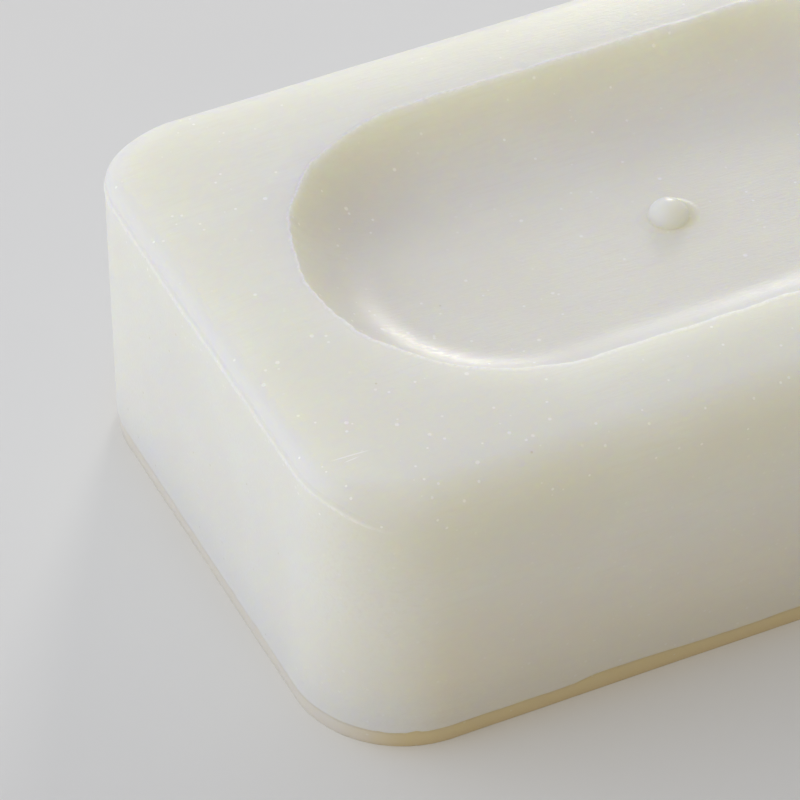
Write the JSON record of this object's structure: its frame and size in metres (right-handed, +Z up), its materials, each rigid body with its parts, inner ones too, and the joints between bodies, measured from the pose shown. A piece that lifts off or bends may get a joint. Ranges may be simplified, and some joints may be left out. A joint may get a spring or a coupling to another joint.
{
  "type": "bar of soap",
  "caption": "Oblong moulded bar of soap with rounded corners, a long round-ended hollow in its top and a small round nub on the hollow's floor.",
  "frame": {"origin": "middle of the flat base that the bar rests on", "axes": "+X along the bar's length, +Y along its width, +Z up, out of the face with the hollow"},
  "size_m": [0.092, 0.058, 0.0301],
  "materials": {
    "soap": "smooth satin soap, creamy white and slightly translucent"
  },
  "bodies": {
    "root": {"soap_bar": "soap"}
  },
  "joints": []
}
